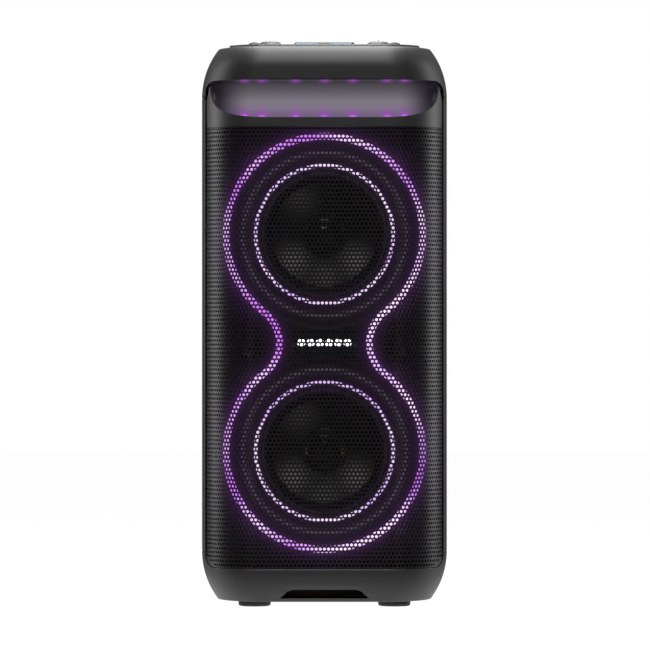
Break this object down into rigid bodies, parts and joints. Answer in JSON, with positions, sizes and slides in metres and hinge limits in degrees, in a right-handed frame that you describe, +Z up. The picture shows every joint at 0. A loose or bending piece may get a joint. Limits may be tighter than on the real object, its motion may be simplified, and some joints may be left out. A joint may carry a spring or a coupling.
{
  "type": "party speaker",
  "caption": "Tall portable party speaker with stacked woofers behind a wrap-round grille, light rings, a lit hand recess, top controls and a flat base on feet.",
  "frame": {"origin": "on the floor, under the middle of the cabinet's box", "axes": "+Z up, the front faces -Y, +X is the right-hand side seen from the front"},
  "size_m": [0.2964, 0.312, 0.6807],
  "materials": {
    "casing": "fine satin texture",
    "panel_plastic": "smooth satin",
    "back_plastic": "coarse moulded texture",
    "scoop_plastic": "smooth satin",
    "foot_rubber": "matt",
    "key_rubber": "satin",
    "grille_metal": "satin powder coat, perforated",
    "baffle_plastic": "matt",
    "light_guide": "frosted, lit from behind",
    "white_light_guide": "frosted, lit from behind",
    "smoked_window": "smoked, glossy",
    "display_glass": "clear cover over a lit display",
    "gloss_black": "gloss",
    "knob_plastic": "satin",
    "basket_metal": "satin",
    "magnet_iron": "plated",
    "spider_cloth": "resin-dipped cloth",
    "surround_rubber": "matt",
    "cone_pulp": "coated pulp",
    "dust_cap_plastic": "satin gloss",
    "coil_copper": "wound wire on a former",
    "tweeter_silk": "coated silk",
    "circuit_board": "solder resist",
    "steel_can": "brushed",
    "battery_wrap": "shrink wrap",
    "socket_metal": "plated",
    "socket_plastic": "matt"
  },
  "bodies": {
    "cabinet": {"cabinet_shell": "casing", "top_cap": "casing", "base_plinth": "casing", "rear_panel": "back_plastic", "foot_front_left": "foot_rubber", "foot_front_right": "foot_rubber", "foot_rear_left": "foot_rubber", "foot_rear_right": "foot_rubber", "handle_scoop": "scoop_plastic", "handle_light_upper": "light_guide", "handle_light_lower": "light_guide", "front_trim": "casing", "front_grille": "grille_metal", "front_baffle": "baffle_plastic", "outer_light_guide": "light_guide", "indicator_window": "smoked_window", "indicator_light_pipe": "white_light_guide", "base_grip_pocket": "back_plastic", "reflex_port": "back_plastic", "amplifier_board": "circuit_board", "power_supply": "steel_can", "battery_pack": "battery_wrap", "control_board": "circuit_board", "control_panel": "panel_plastic", "display_housing": "gloss_black", "display_lens": "display_glass", "volume_encoder": "steel_can", "mic_encoder": "steel_can", "io_panel": "back_plastic", "usb_port": "socket_metal", "mic_jack": "socket_plastic", "power_inlet": "socket_plastic", "inner_light_ring_upper": "light_guide", "woofer_basket_upper": "basket_metal", "woofer_magnet_upper": "magnet_iron", "woofer_spider_upper": "spider_cloth", "woofer_surround_upper": "surround_rubber", "inner_light_ring_lower": "light_guide", "woofer_basket_lower": "basket_metal", "woofer_magnet_lower": "magnet_iron", "woofer_spider_lower": "spider_cloth", "woofer_surround_lower": "surround_rubber", "tweeter_body_left": "gloss_black", "tweeter_dome_left": "tweeter_silk", "tweeter_body_right": "gloss_black", "tweeter_dome_right": "tweeter_silk"},
    "cone_upper": {"woofer_cone_upper": "cone_pulp", "woofer_dust_cap_upper": "dust_cap_plastic", "woofer_voice_coil_upper": "coil_copper"},
    "cone_lower": {"woofer_cone_lower": "cone_pulp", "woofer_dust_cap_lower": "dust_cap_plastic", "woofer_voice_coil_lower": "coil_copper"},
    "volume_knob": {"volume_knob": "knob_plastic"},
    "mic_knob": {"mic_knob": "knob_plastic"},
    "power_button": {"power_button": "key_rubber"},
    "light_button": {"light_button": "key_rubber"},
    "previous_key": {"previous_key": "key_rubber"},
    "play_key": {"play_key": "key_rubber"},
    "next_key": {"next_key": "key_rubber"},
    "bass_key": {"bass_key": "key_rubber"}
  },
  "joints": [
    {"name": "cone_upper_stroke", "type": "slide", "parent": "cabinet", "child": "cone_upper", "axis": [0, -1, 0], "range_m": [-0.004, 0.004], "stiffness_N_per_m": 1500, "deforming": ["woofer_surround_upper", "woofer_spider_upper"]},
    {"name": "cone_lower_stroke", "type": "slide", "parent": "cabinet", "child": "cone_lower", "axis": [0, -1, 0], "range_m": [-0.004, 0.004], "stiffness_N_per_m": 1500, "deforming": ["woofer_surround_lower", "woofer_spider_lower"]},
    {"name": "volume_turn", "type": "hinge", "parent": "cabinet", "child": "volume_knob", "pos_m": [-0.065, -0.088, 0.6744], "axis": [0, 0, 1], "continuous": true},
    {"name": "mic_turn", "type": "hinge", "parent": "cabinet", "child": "mic_knob", "pos_m": [0.065, -0.088, 0.6744], "axis": [0, 0, 1], "range_deg": [-140, 140]},
    {"name": "power_button_press", "type": "slide", "parent": "cabinet", "child": "power_button", "axis": [0, 0, -1], "range_m": [0, 0.0012], "stiffness_N_per_m": 700, "springref_m": -0.0006},
    {"name": "light_button_press", "type": "slide", "parent": "cabinet", "child": "light_button", "axis": [0, 0, -1], "range_m": [0, 0.0012], "stiffness_N_per_m": 700, "springref_m": -0.0006},
    {"name": "previous_key_press", "type": "slide", "parent": "cabinet", "child": "previous_key", "axis": [0, 0, -1], "range_m": [0, 0.0012], "stiffness_N_per_m": 700, "springref_m": -0.0006},
    {"name": "play_key_press", "type": "slide", "parent": "cabinet", "child": "play_key", "axis": [0, 0, -1], "range_m": [0, 0.0012], "stiffness_N_per_m": 700, "springref_m": -0.0006},
    {"name": "next_key_press", "type": "slide", "parent": "cabinet", "child": "next_key", "axis": [0, 0, -1], "range_m": [0, 0.0012], "stiffness_N_per_m": 700, "springref_m": -0.0006},
    {"name": "bass_key_press", "type": "slide", "parent": "cabinet", "child": "bass_key", "axis": [0, 0, -1], "range_m": [0, 0.0012], "stiffness_N_per_m": 700, "springref_m": -0.0006}
  ]
}
